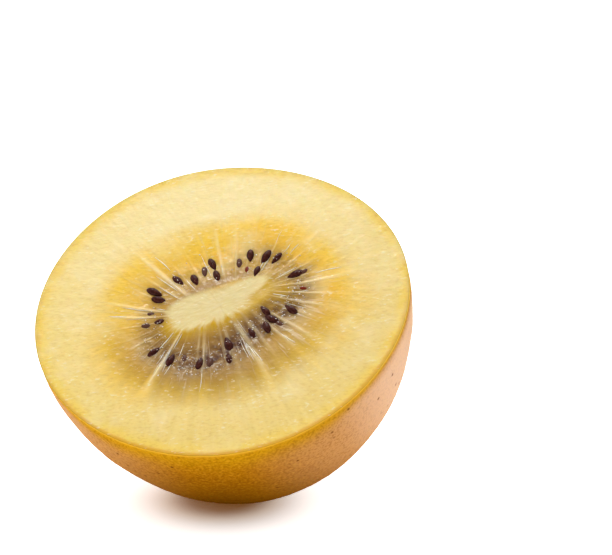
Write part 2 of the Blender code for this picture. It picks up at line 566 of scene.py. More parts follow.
        layers = (
            (steps["shades"], self.shade),
            (steps["clouds"], self.pale),
            # Painted sheen on the outer flesh.
            (masks["painted_sheen"], self.painted_sheen),
            (masks["rim"], self.rim),
            (self.swayed(tree, masks["deep"], strands, 0.25), self.deep),
            (self.swayed(tree, masks["gel"], cells, 0.35), self.gel),
            (threads, self.thread),
            (steps["core"], layered(tree, self.core, [(steps["core_fibres"], self.core_fibre)])),
            (rays, self.ray),
            # Painted glints of the wet cells.
            (painted_glints, self.glint_paint),
        )
        base = add_node(tree, "ShaderNodeValToRGB", links={"Fac": tone}, stops=self.tones).outputs["Color"]
        return layered(tree, base, layers)

    def relief(self, tree: Tree, noises: dict[str, Socket], core: Socket) -> Socket:
        """Adds the fine bumps of cells and strands, which are lower in the smooth core.

        Args:
            tree: the material's nodes.
            noises: the flesh's noises, by name.
            core: the mask of the core.

        Returns:
            The socket with the bumped normal.
        """
        limits = {"From Min": -0.8, "From Max": 0.8, "To Min": 0.24, "To Max": 0.05}
        strength = add_node(tree, "ShaderNodeMapRange", limits, {"Value": core}).outputs[0]
        links = {"Height": noises["cells"], "Strength": strength}
        grain = add_node(tree, "ShaderNodeBump", {"Distance": self.cell_relief}, links).outputs[0]
        links = {"Height": noises["strands"], "Strength": strength, "Normal": grain}
        return add_node(tree, "ShaderNodeBump", {"Distance": self.strand_relief}, links).outputs[0]


@dataclass(frozen=True)
class SkinFinish(Finish):
    """Thin, nearly hairless golden kiwi skin: satin and leathery, with fine corky pores.

    It scatters the light softly, so it shows golden brown with no highlight. Fine specks and shades give it
    its leathery grain, and a few dark pores are strewn over it. Light and shade are painted into its colour:
    a golden glow below the cut for light that comes through the flesh, a painted sheen on both sides that is
    palest at the far sides, and painted shade on the underside near the floor.
    """

    name: ClassVar[str] = "golden_kiwi_skin"
    constants: ClassVar[dict[str, object]] = {
        "Roughness": 0.42,
        "IOR": 1.4,
        "Specular IOR Level": 0.0,
        "Subsurface Weight": 0.15,
        "Subsurface Radius": (1.0, 0.5, 0.15),
        "Subsurface Scale": 0.8 * MM,
    }
    reads: ClassVar[tuple[str, ...]] = ("glow", "edge", "edge_top", "under", "sheen_tan", "sheen")

    brown: str = "8A5204"
    warm: str = "A86C06"
    # Painted light: the golden glow of light that comes through the flesh, just below the cut.
    glow: str = "B08008"
    speck: str = "C88A20"
    # Painted sheen of the sides, a pinkish light brown.
    sheen_tan: str = "B68658"
    shade: str = "6A3C04"
    # Pale painted sheen of the far sides.
    sheen: str = "DDBAA0"
    # Painted shade on the underside near the floor.
    under: str = "543002"
    pore: str = "4E2604"
    edge: str = "CE9A2A"
    edge_top: str = "E0CC7C"

    # Soft clouds, the leathery grain, drawn a little coarse so that it shows, and the pores.
    cloud: float = 7.0 * MM
    grain: float = 0.42 * MM
    pore_spacing: float = 1.9 * MM
    grain_relief: float = 0.12 * MM
    pore_relief: float = 0.15 * MM

    def patterns(self, tree: Tree, place: Socket, masks: dict[str, Socket]) -> dict[str, Socket]:
        """Adds the skin's clouds, grain and pores, and its colour and relief from them and the masks.

        Args:
            tree: the material's nodes.
            place: the surface's place, in metres.
            masks: the masks that the mesh carries, by name.

        Returns:
            The sockets to join to the shader, by the name of its input.
        """
        clouds, grain = (
            add_node(tree, "ShaderNodeTexNoise", {"Scale": 1 / size, "Detail": detail}, {"Vector": place})
            for size, detail in ((self.cloud, 4.0), (self.grain, 3.0))
        )
        grains = grain.outputs["Fac"]
        pores = add_node(tree, "ShaderNodeTexVoronoi", {"Scale": 1 / self.pore_spacing}, {"Vector": place})

        # What is read, where the ramp starts and ends, and the values there. Only some pores are corked.
        ramps = {}
        for name, value, low, high, first, last in (
            ("pores", pores.outputs["Distance"], 0.06, 0.19, 0.8, 0.0),
            ("corked", pores.outputs["Color"], 0.50, 0.60, 0.0, 1.0),
            ("specks", grains, 0.50, 0.70, 0.0, 0.45),
            ("shades", grains, 0.36, 0.50, 0.38, 0.0),
        ):
            limits = {"From Min": low, "From Max": high, "To Min": first, "To Max": last}
            ramps[name] = add_node(tree, "ShaderNodeMapRange", limits, {"Value": value}).outputs[0]
        links = {0: ramps["pores"], 1: ramps["corked"]}
        dots = add_node(tree, "ShaderNodeMath", {}, links, operation="MULTIPLY").outputs[0]

        layers = (
            (clouds.outputs["Fac"], self.warm),
            # Painted glow of light that comes through the flesh.
            (masks["glow"], self.glow),
            (ramps["specks"], self.speck),
            # Painted sheen of the sides.
            (masks["sheen_tan"], self.sheen_tan),
            (ramps["shades"], self.shade),
            # Pale painted sheen of the far sides.
            (masks["sheen"], self.sheen),
            # Painted shade on the underside.
            (masks["under"], self.under),
            (dots, self.pore),
            (masks["edge"], self.edge),
            (masks["edge_top"], self.edge_top),
        )
        values = {"Strength": 0.6, "Distance": self.grain_relief}
        rough = add_node(tree, "ShaderNodeBump", values, {"Height": grains}).outputs[0]
        values = {"Strength": 0.5, "Distance": self.pore_relief}
        pitted = add_node(tree, "ShaderNodeBump", values, {"Height": dots, "Normal": rough}).outputs[0]
        return {"Base Color": layered(tree, self.brown, layers), "Normal": pitted}


@dataclass(frozen=True)
class GrainedFinish(Finish):
    """A finish whose tones follow one noise, with the mesh's masks painted over them."""

    tones: Tones = ()
    painted: tuple[str, ...] = ()
    grain: float = 1.0 * MM
    detail: float = 2.0
    relief: float = 0.0
    relief_strength: float = 0.0

    def patterns(self, tree: Tree, place: Socket, masks: dict[str, Socket]) -> dict[str, Socket]:
        """Adds the noise, its tones and paints, and the relief if there is any.

        Args:
            tree: the material's nodes.
            place: the surface's place, in metres.
            masks: the masks that the mesh carries, by name.

        Returns:
            The sockets to join to the shader, by the name of its input.
        """
        values = {"Scale": 1 / self.grain, "Detail": self.detail}
        grains = add_node(tree, "ShaderNodeTexNoise", values, {"Vector": place}).outputs["Fac"]
        base = add_node(tree, "ShaderNodeValToRGB", links={"Fac": grains}, stops=self.tones).outputs["Color"]
        found = {"Base Color": layered(tree, base, zip(masks.values(), self.painted))}
        if self.relief:
            values = {"Strength": self.relief_strength, "Distance": self.relief}
            found["Normal"] = add_node(tree, "ShaderNodeBump", values, {"Height": grains}).outputs[0]
        return found


@dataclass(frozen=True)
class SeedFinish(GrainedFinish):
    """Ripe kiwi seed coats: hard, smooth and dark brown, wet from the gel.

    They show as nearly black drops with a small soft glint. Gel veils some and makes them paler, and unripe
    ones are reddish. The coat's net is drawn about three times as coarse as it is, so that it shows.
    """

    name: ClassVar[str] = "kiwi_seed_coat_wet"
    constants: ClassVar[dict[str, object]] = {
        "Roughness": 0.35,
        "IOR": 1.35,
        "Specular IOR Level": 0.08,
        "Coat Weight": 0.05,
        "Coat Roughness": 0.06,
    }
    reads: ClassVar[tuple[str, ...]] = ("veiled", "unripe")

    tones: Tones = ((0.45, "3A1812"), (0.75, "582F26"))
    painted: tuple[str, ...] = ("624336", "7C2A12")
    grain: float = 0.35 * MM
    relief: float = 0.06 * MM
    relief_strength: float = 0.35


@dataclass(frozen=True)
class FibreFinish(GrainedFinish):
    """Wet fibres of the chamber walls: pale, translucent and glossy, so they show as bright threads."""

    name: ClassVar[str] = "kiwi_fibre_wet"
    constants: ClassVar[dict[str, object]] = {
        "Roughness": 0.2,
        "IOR": 1.4,
        "Subsurface Weight": 0.5,
        "Subsurface Radius": (1.0, 0.7, 0.35),
        "Subsurface Scale": 0.5 * MM,
        "Coat Weight": 0.5,
        "Coat Roughness": 0.05,
    }

    tones: Tones = ((0.35, "F4DDB0"), (0.65, "FFF6E2"))
    grain: float = 0.8 * MM


@dataclass(frozen=True)
class JuiceFinish(GrainedFinish):
    """Beads of cloudy juice and gel, soft and very smooth; their near-white tone is a painted glint."""

    name: ClassVar[str] = "kiwi_juice_painted_glints"
    constants: ClassVar[dict[str, object]] = {
        "Roughness": 0.08,
        "IOR": 1.36,
        "Subsurface Weight": 0.6,
        "Subsurface Radius": (1.0, 0.9, 0.7),
        "Subsurface Scale": 0.3 * MM,
    }

    # The palest tone is a painted glint; the greyer one is the gel's own colour.
    tones: Tones = ((0.40, "D8BFA8"), (0.60, "FFF6E6"))
    grain: float = 2.0 * MM


@dataclass(frozen=True)
class ScarFinish(GrainedFinish):
    """Dry woody scar where the stalk broke off: dark, fibrous and dull."""

    name: ClassVar[str] = "dry_kiwi_stalk_scar"
    constants: ClassVar[dict[str, object]] = {"Roughness": 0.85, "IOR": 1.5, "Specular IOR Level": 0.2}

    tones: Tones = ((0.35, "30190A"), (0.70, "946232"))
    grain: float = 0.5 * MM
    detail: float = 5.0
    relief: float = 0.2 * MM
    relief_strength: float = 0.8


@dataclass(frozen=True)
class PaperFinish(Finish):
    """Matt white paper whose glow paints the fruit's small soft shadow, warm brown in its middle."""

    name: ClassVar[str] = "matt_white_paper_painted_shadow"
    constants: ClassVar[dict[str, object]] = {
        "Base Color": linear("FBFBFA"),
        "Roughness": 0.9,
        "Specular IOR Level": 0.1,
        "Emission Strength": 0.85,
    }

    # The painted shadow: its middle, the radius within which it is darkest, the radius from which the glow is
    # full, and its tones.
    shadow_middle: tuple[float, float, float] = (-2.5 * MM, -5.0 * MM, 0.0)
    dark_radius: float = 4.0 * MM
    lit_radius: float = 17.0 * MM
    shadow: Tones = ((0.0, "6F4510"), (0.25, "B3A495"), (0.60, "DAD7D4"), (1.0, "FFFFFF"))

    def patterns(self, tree: Tree, place: Socket, masks: dict[str, Socket]) -> dict[str, Socket]:
        """Adds the paper's glow, which paints the shadow: dark and warm at its middle, and fading in
        outwards.

        Args:
            tree: the material's nodes.
            place: the surface's place, in metres.
            masks: not used.

        Returns:
            The sockets to join to the shader, by the name of its input.
        """
        away = add_node(
            tree, "ShaderNodeVectorMath", {1: self.shadow_middle}, {0: place}, operation="DISTANCE"
        ).outputs["Value"]
        limits = {"From Min": self.dark_radius, "From Max": self.lit_radius}
        reach = add_node(
            tree, "ShaderNodeMapRange", limits, {"Value": away}, interpolation_type="SMOOTHSTEP"
        ).outputs[0]
        glow = add_node(tree, "ShaderNodeValToRGB", links={"Fac": reach}, stops=self.shadow).outputs["Color"]
        return {"Emission Color": glow}


def sheet(shape: Shape, around: int, along: int) -> Iterator[tuple[bmesh.types.BMVert, float, int]]:
    """Adds a grid to be wrapped into a tube or a turned form.

    Args:
        shape: the shape to add to.
        around: steps round the form.
        along: steps along its outline.

    Yields:
        Each new vertex, with its direction round the form and its step along the outline.
    """
    for vertex in bmesh.ops.create_grid(shape, x_segments=around, y_segments=along, size=0.5)["verts"]:
        yield vertex, 2 * math.pi * (vertex.co.x + 0.5), round((vertex.co.y + 0.5) * along)


def turned(outline: list[tuple[float, float]], spokes: int) -> Shape:
    """Turns an outline of radius and height once round the middle line.

    Args:
        outline: (radius, height) of each point; the first and last lie on the middle line.
        spokes: number of steps round.

    Returns:
        The closed shape, with its seam and poles merged and its faces outwards.
    """
    shape = bmesh.new()
    for vertex, angle, step in sheet(shape, spokes, len(outline) - 1):
        radius, height = outline[step]
        vertex.co = Vector((radius * math.cos(angle), radius * math.sin(angle), height))
    bmesh.ops.remove_doubles(shape, verts=shape.verts[:], dist=1e-6)
    bmesh.ops.recalc_face_normals(shape, faces=shape.faces[:])
    return shape


# The layer of a shape that holds least heights over the floor, and the angle past which an edge is sharp.
LEAST_HEIGHT = "least_height"
CREASE = math.radians(40)


def finished(name: str, shape: Shape, form: FruitForm, finish: Finish) -> bpy.types.Object:
    """Lays a shape down on its flat spot and makes it a smooth object with its finish.

    Args:
        name: the piece's name.
        shape: the piece in the fruit's own frame; it is freed. A layer of least heights over the floor is
            used up.
        form: the fruit, which knows how it lies.
        finish: the piece's finish.

    Returns:
        The object, riding on the one body of the frame.
    """
    bmesh.ops.transform(shape, matrix=form.lying(), verts=shape.verts[:])
    least = shape.verts.layers.float.get(LEAST_HEIGHT)
    for vertex in shape.verts:
        vertex.co.z = max(vertex.co.z, vertex[least] if least else 0.0)
    if least:
        shape.verts.layers.float.remove(least)
    mesh = bpy.data.meshes.new(name)
    shape.to_mesh(mesh)
    shape.free()
    mesh.materials.append(finish.material())
    mesh.shade_smooth()
    mesh.set_sharp_from_angle(angle=CREASE)
    piece = bpy.data.objects.new(name, mesh)
    bpy.context.scene.collection.objects.link(piece)
    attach(piece, "root")
    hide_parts("kiwi_half")
    LOG.info("%s: %d faces", name, len(mesh.polygons))
    return piece


@dataclass(frozen=True)
class PaleRay:
    """One pale wall between two seed chambers, as it shows on the cut."""

    angle: float
    strength: float
    end: float


@dataclass(frozen=True)
class CutFace:
    """Relief and masks of the cut: the pale core, the rays, the seed chambers and the outer flesh.

    Where a name says reach, it is a share of the way from the core's edge to the skin.
    """

    form: FruitForm
    ring: SeedRing

    # How strongly each pale ray shows, in ninths, counted anticlockwise from the long axis. Then the rays'
    # width, with what a strong one adds, their height, and the reach at which they end.
    ray_strength: str = "573332322553238336632323823424745545"
    ray_width: float = 0.10 * MM
    ray_spread: float = 0.24 * MM
    ray_height: float = 0.05 * MM
    ray_wander: float = math.radians(1.2)
    ray_reach: float = 0.34
    ray_gain: float = 0.3
    ray_uneven: float = 0.05
    ray_draw: int = 3
    zone_waves: Waves = (
        (1, 0.026, -2.81),
        (2, 0.029, 0.81),
        (3, 0.020, -0.37),
        (4, 0.029, -0.45),
        (5, 0.042, -0.03),
    )

    # The core's outline, its rise and slope, and the bays that the chambers bite out of it between the walls.
    core_waves: Waves = ((1, 0.205, 2.22), (2, 0.052, 1.11), (3, 0.101, 0.30), (4, 0.105, 0.54))
    core_rise: float = 0.06 * MM
    core_slope: tuple[float, float] = (-1.4 * MM, 0.4 * MM)
    bay: float = 1.5 * MM
    wall: float = 0.2 * MM

    # The strong rays cut notches into the dark zone's outer edge: their width, and their depth as reach.
    notch_width: float = 1.0 * MM
    notch_depth: float = 0.09

    # Relief: the chambers' trough with its reach, soft lumps, cell grain, and the lip at the rim.
    trough: float = 0.32 * MM
    trough_reach: tuple[float, float] = (-0.05, 0.46)
    lump: float = 1.3 * MM
    lump_height: float = 0.03 * MM
    cell: float = 0.45 * MM
    cell_height: float = 0.012 * MM
    rim_lip: float = 0.005 * MM
    rim_reach: tuple[float, float] = (0.965, 0.995)

    # Where the flesh's zones begin and end, as reach.
    gold_fall: tuple[float, float] = (0.39, 0.69)
    shade_rise: tuple[float, float] = (0.45, 0.60)
    shade_fall: tuple[float, float] = (0.90, 1.00)
    # The painted sheen on the outer flesh.
    painted_sheen_rise: tuple[float, float] = (0.48, 0.62)
    painted_sheen_fall: tuple[float, float] = (0.88, 1.00)
    waves_fall: tuple[float, float] = (0.70, 0.95)
    shift_fall: tuple[float, float] = (0.80, 0.98)
    wet_reach: tuple[float, float] = (0.0, 0.62)
    golden_rim: tuple[float, float] = (0.968, 0.998)

    # Directions in which the gel, the deep gold and the painted sheen show most, and the one in which gel and
    # gold begin nearest to the core.
    gel_side: float = math.radians(-60)
    deep_side: float = math.radians(-88)
    upper_side: float = math.radians(100)
    early_side: float = math.radians(-40)
    gel_strength: float = 0.9
    gel_patch: float = 1.2 * MM
    gold_shift: float = 0.13
    core_mask_limit: float = 3.0

    # The halo of gel round a seed: how far round the fruit it is looked for, in radians, and its size in
    # lengths and widths of the seed.
    halo_turn: float = 0.4
    halo_size: float = 0.85

    # Fibres of the core: how thick and how long their noise is drawn, and where it takes over.
    fibre: tuple[float, float] = (0.55 * MM, 4.0 * MM)
    fibre_edge: tuple[float, float] = (0.3 * MM, 1.1 * MM)

    def rays(self) -> list[PaleRay]:
        """The pale rays, in turn."""
        draw = random.Random(self.ray_draw)
        step = 2 * math.pi / len(self.ray_strength)
        found = []
        for number, digit in enumerate(self.ray_strength):
            strength = int(digit) / 9
            turn = number * step + draw.gauss(0, self.ray_wander)
            end = self.ray_reach + self.ray_gain * strength + draw.uniform(-self.ray_uneven, self.ray_uneven)
            found.append(PaleRay(turn, strength, end))
        return found

    def nearest(self, angle: float, span: float, rays: list[PaleRay]) -> tuple[PaleRay, float]:
        """The ray nearest to a point, and how far beside it the point lies.

        Args:
            angle: the point's direction.
            span: its distance from the fruit's middle, in metres.
            rays: the rays.

        Returns:
            The ray, and the distance beside it in metres.
        """
        ray = rays[round(angle / (2 * math.pi) * len(rays)) % len(rays)]
        off = (angle - ray.angle + math.pi) % (2 * math.pi) - math.pi
        return ray, off * span

    def ray(self, ray: PaleRay, off: float, reach: float) -> float:
        """How much of a pale ray there is at a point.

        Args:
            ray: the ray nearest to the point.
            off: how far beside it the point lies, in metres.
            reach: the point's reach.

        Returns:
            0 beside the ray, up to 1 on the crest of the strongest.
        """
        width = (self.ray_width + self.ray_spread * ray.strength) * (0.7 + reach)
        return ray.strength * bell(off, width) * ease(ray.end - reach, 0, 0.2) * ease(reach, -0.03, 0.13)

    def in_core(self, point: Vector) -> Vector:
        """A point of the cut in the core's own frame, +X along its length."""
        return Matrix.Rotation(-self.form.core_turn, 3, "Z") @ (point - self.form.core_middle)

    def core_depth(self, point: Vector) -> float:
        """How far a point of the cut lies inside the core's outline.

        Args:
            point: the point in the plane of the cut.

        Returns:
            The depth in metres, negative outside the core.
        """
        own = self.in_core(point)
        along, across = own.x / self.form.core_long, own.y / self.form.core_short
        turn = math.atan2(across, along)
        size = math.hypot(self.form.core_long * math.cos(turn), self.form.core_short * math.sin(turn))
        return (1 + ripple(self.core_waves, turn) - math.hypot(along, across)) * size

    def bays(self, ray: PaleRay, off: float) -> float:
        """How far the chambers bite into the core's edge beside a ray; the walls stay pale.

        Args:
            ray: the ray nearest to the point.
            off: how far beside it the point lies, in metres.

        Returns:
            The bite, in metres.
        """
        # The sine gives each bay a depth of its own.
        depth = 0.45 + 0.55 * math.sin(7.3 * ray.angle) ** 2
        return self.bay * depth * (1 - bell(off, self.wall)) * self.lower_side(ray.angle) ** 2

    def grain(self, point: Vector, angle: float, reach: float) -> Vector:
        """Place in the space where fibres are nearly points: along the rays, and lengthwise in the core.

        Args:
            point: the point in the plane of the cut.
            angle: its direction.
            reach: its reach, negative in the core.

        Returns:
            The place, which has no unit.
        """
        # The numbers that are added only choose the stretch of noise that shows.
        radial = Vector((10 * math.cos(angle), 10 * math.sin(angle), 2 * reach + 0.7))
        own = self.in_core(point)
        thick, long = self.fibre
        lengthwise = Vector((own.y / thick + 7.3, own.x / long + 4.6, 0.7))
        return radial.lerp(lengthwise, ease(self.core_depth(point), *self.fibre_edge))

    def lower_side(self, angle: float) -> float:
        """1 where the chambers are cut deepest and wettest, down to 0 on the other side."""
        return facing(angle, self.gel_side)

    def height(self, point: Vector, reach: float, ray: float) -> float:
        """Height of the cut's relief over its plane at a point.

        Args:
            point: the point in the plane of the cut.
            reach: its reach, negative in the core.
            ray: how much of a pale ray there is.

        Returns:
            The height, in metres.
        """
        core = ease(self.core_depth(point), *self.core_slope)
        lumps = unevenness(point, self.lump)
        height = self.core_rise * core + self.ray_height * ray
        trough = self.trough * swell(reach, *self.trough_reach) * (1 - core)
        height -= trough * (0.8 + 0.35 * lumps) * (1 - 0.5 * ray)
        height += self.lump_height * lumps + self.cell_height * unevenness(point, self.cell, 2)
        # At the rim the flesh laps over the skin's edge by a hair, so no gap shows.
        return height + (self.rim_lip - height) * ease(reach, *self.rim_reach)

    def ground(self, angle: float, reach: float, rays: list[PaleRay]) -> Vector:
        """Point on the relief of the cut.

        Args:
            angle: its direction.
            reach: its reach.
            rays: the pale rays.

        Returns:
            The point, in the fruit's own frame.
        """
        point = self.form.ray_point(angle, reach)
        ray = self.ray(*self.nearest(angle, point.length, rays), reach)
        return point + Vector((0, 0, self.height(point, reach, ray)))

    def halo(self, point: Vector, angle: float, seeds: list[tuple[float, Matrix]]) -> float:
        """How near a point lies to a seed.

        Args:
            point: the point in the plane of the cut.
            angle: its direction.
            seeds: direction of each seed, and the matrix from the fruit's frame to the seed's own.

        Returns:
            1 beside a seed, fading over a millimetre or two.
        """
        near = 0.0
        for direction, inverse in seeds:
            if abs((angle - direction + math.pi) % (2 * math.pi) - math.pi) < self.halo_turn:
                own = inverse @ point
                off = math.hypot(own.x / self.ring.length, own.y / self.ring.width)
                near = max(near, bell(off, self.halo_size))
        return near

    def gel(self, point: Vector, angle: float, reach: float, halo: float) -> float:
        """How dark the gel of the seed chambers is at a point: it fills a ring, and lies round each seed.

        Args:
            point: the point in the plane of the cut.
            angle: its direction.
            reach: its reach.
            halo: how near it lies to a seed.

        Returns:
            0 with no gel, up to about 1 where it is darkest.
        """
        side = self.lower_side(angle)
        ring = self.ring.reach + ripple(self.ring.waves, angle)
        gel = bell(reach - ring + 0.01, 0.08 + 0.04 * side) * (0.10 + 0.90 * side**1.5)
        gel = self.gel_strength * gel * (0.9 + 0.6 * unevenness(point, self.gel_patch))
        return max(gel, 0.75 * halo * (0.32 + 0.68 * side))

    def deep(self, angle: float, reach: float, notch: float) -> float:
        """How deep the gold is at a point.

        Args:
            angle: the point's direction.
            reach: its reach.
            notch: how far a strong ray cuts in there, 0 to 1.

        Returns:
            0 in pale flesh, up to about 1 in the deepest gold.
        """
        upper, left = facing(angle, self.upper_side), facing(angle, math.pi)
        along = abs(math.cos(angle))
        inside = 1 - ease(reach + self.notch_depth * notch, *self.gold_fall)
        deep = inside * (0.05 + 0.85 * toward(angle, self.deep_side) + 0.1 * along)
        deep += 1.1 * upper * (0.45 + 0.55 * left) * bell(reach - 0.03, 0.07)
        # The outer band is also a little darker towards the bottom and the right.
        shade = 0.08 * toward(angle, math.radians(-90)) + 0.1 * toward(angle, 0) ** 2
        return deep + shade * band(reach, self.shade_rise, self.shade_fall)

    def masks(
        self,
        point: Vector,
        angle: float,
        reach: float,
        near: tuple[PaleRay, float],
        seeds: list[tuple[float, Matrix]],
    ) -> dict[str, float]:
        """Masks that the flesh's finish reads at a point.

        Args:
            point: the point in the plane of the cut.
            angle: its direction.
            reach: its reach, negative in the core.
            near: the ray nearest to the point, and how far beside it the point lies.
            seeds: direction of each seed, and the matrix from the fruit's frame to the seed's own.

        Returns:
            The value of each mask, by name.
        """
        side = self.lower_side(angle)
        upper = facing(angle, self.upper_side)
        early = toward(angle, self.early_side)
        begin = ease(reach, 0.02 - 0.08 * upper - 0.05 * early, 0.16 - 0.12 * upper - 0.07 * early)
        notch = near[0].strength * bell(near[1], self.notch_width)
        halo = self.halo(point, angle, seeds) if reach < 0.5 else 0.0
        gold = self.gold_shift * toward(angle, 0) ** 2 * (1 - ease(reach, *self.shift_fall))
        zone = ripple(self.zone_waves, angle) * (1 - ease(reach, *self.waves_fall))
        core = (self.core_depth(point) - self.bays(*near)) / MM + 0.4 - 0.9 * upper
        return {
            "tone": max(0.0, reach) + 0.4 * self.notch_depth * notch * swell(reach, 0.2, 0.6) - gold - zone,
            "core": max(-self.core_mask_limit, min(self.core_mask_limit, core)),
            "rays": 0.75 * self.ray(*near, reach),
            "gel": self.gel(point, angle, reach, halo) * begin - 0.04,
            "deep": self.deep(angle, reach, notch) * begin - 0.05,
            # Painted sheen, strongest on the upper side.
            "painted_sheen": (0.5 * upper**2 + 0.15 * side) * band(reach, self.painted_sheen_rise, self.painted_sheen_fall),
            "wet": swell(reach, *self.wet_reach) * (0.3 + 0.7 * side),
            "rim": 0.9 * ease(reach, *self.golden_rim) * (1 - ease(upper, 0.1, 0.6)),
        }


@dataclass(frozen=True)
class Flesh:
    """The flesh: one body under the skin, with the cut face on top."""

    form: FruitForm
    cut: CutFace
    finish: FleshFinish = FleshFinish()
    spokes: int = 720
    core_rings: int = 22
    chamber_rings: int = 56
    outer_rings: int = 32
    edge_rings: int = 6
    dome_rings: int = 10
    chamber_reach: float = 0.45
    edge_reach: float = 0.95

    # How far inside the skin the flesh lies, in thicknesses of the skin: below, and at the cut's rim.
    inset: float = 0.9
    rim_inset: float = 0.5

    def outline(self) -> list[tuple[float, float]]:
        """Coded outline to turn: 0 to 1 is the core, 1 to 2 from core to skin, below 0 the dome."""
        spans = (
            (0.0, 1.0, self.core_rings),
            (1.0, 1 + self.chamber_reach, self.chamber_rings),
            (1 + self.chamber_reach, 1 + self.edge_reach, self.outer_rings),
            (1 + self.edge_reach, 2.0, self.edge_rings),
        )
        outline = []
        for low, high, rings in spans:
            outline += [(low + (high - low) * number / rings, 0.0) for number in range(rings)]
        for number in range(self.dome_rings + 1):
            depth = self.form.half_length * math.sin(0.5 * math.pi * number / self.dome_rings)
            outline.append((2 * self.form.girth(depth), -depth))
        return outline

    def build(self) -> bpy.types.Object:
        """Builds the flesh."""
        shape = turned(self.outline(), self.spokes)
        least = shape.verts.layers.float.new(LEAST_HEIGHT)
        masks = {name: shape.verts.layers.float.new(name) for name in self.finish.reads}
        space = shape.verts.layers.float_vector.new(RAY_SPACE)
        rays = self.cut.rays()
        seeds = [(seed.angle, self.cut.ring.place(seed).inverted()) for seed in self.cut.ring.seeds()]
        for vertex in shape.verts:
            code = math.hypot(vertex.co.x, vertex.co.y)
            angle = math.atan2(vertex.co.y, vertex.co.x)
            vertex[least] = self.inset * self.form.skin_thickness
            if vertex.co.z < 0:
                vertex.co = self.form.under_skin(angle, code / 2, -vertex.co.z, self.inset)
                continue
            reach = code - 1
            point = self.form.core_point(angle, code) if code < 1 else self.form.ray_point(angle, reach)
            near = self.cut.nearest(angle, point.length, rays)
            for name, value in self.cut.masks(point, angle, reach, near, seeds).items():
                vertex[masks[name]] = value
            vertex[space] = self.cut.grain(point, angle, reach)
            height = self.cut.height(point, reach, self.cut.ray(*near, reach))
            inset = self.rim_inset * self.form.skin_thickness * ease(reach, 0.9, 1.0)
            vertex.co = point - point.normalized() * inset + Vector((0, 0, height))
        return finished("flesh", shape, self.form, self.finish)


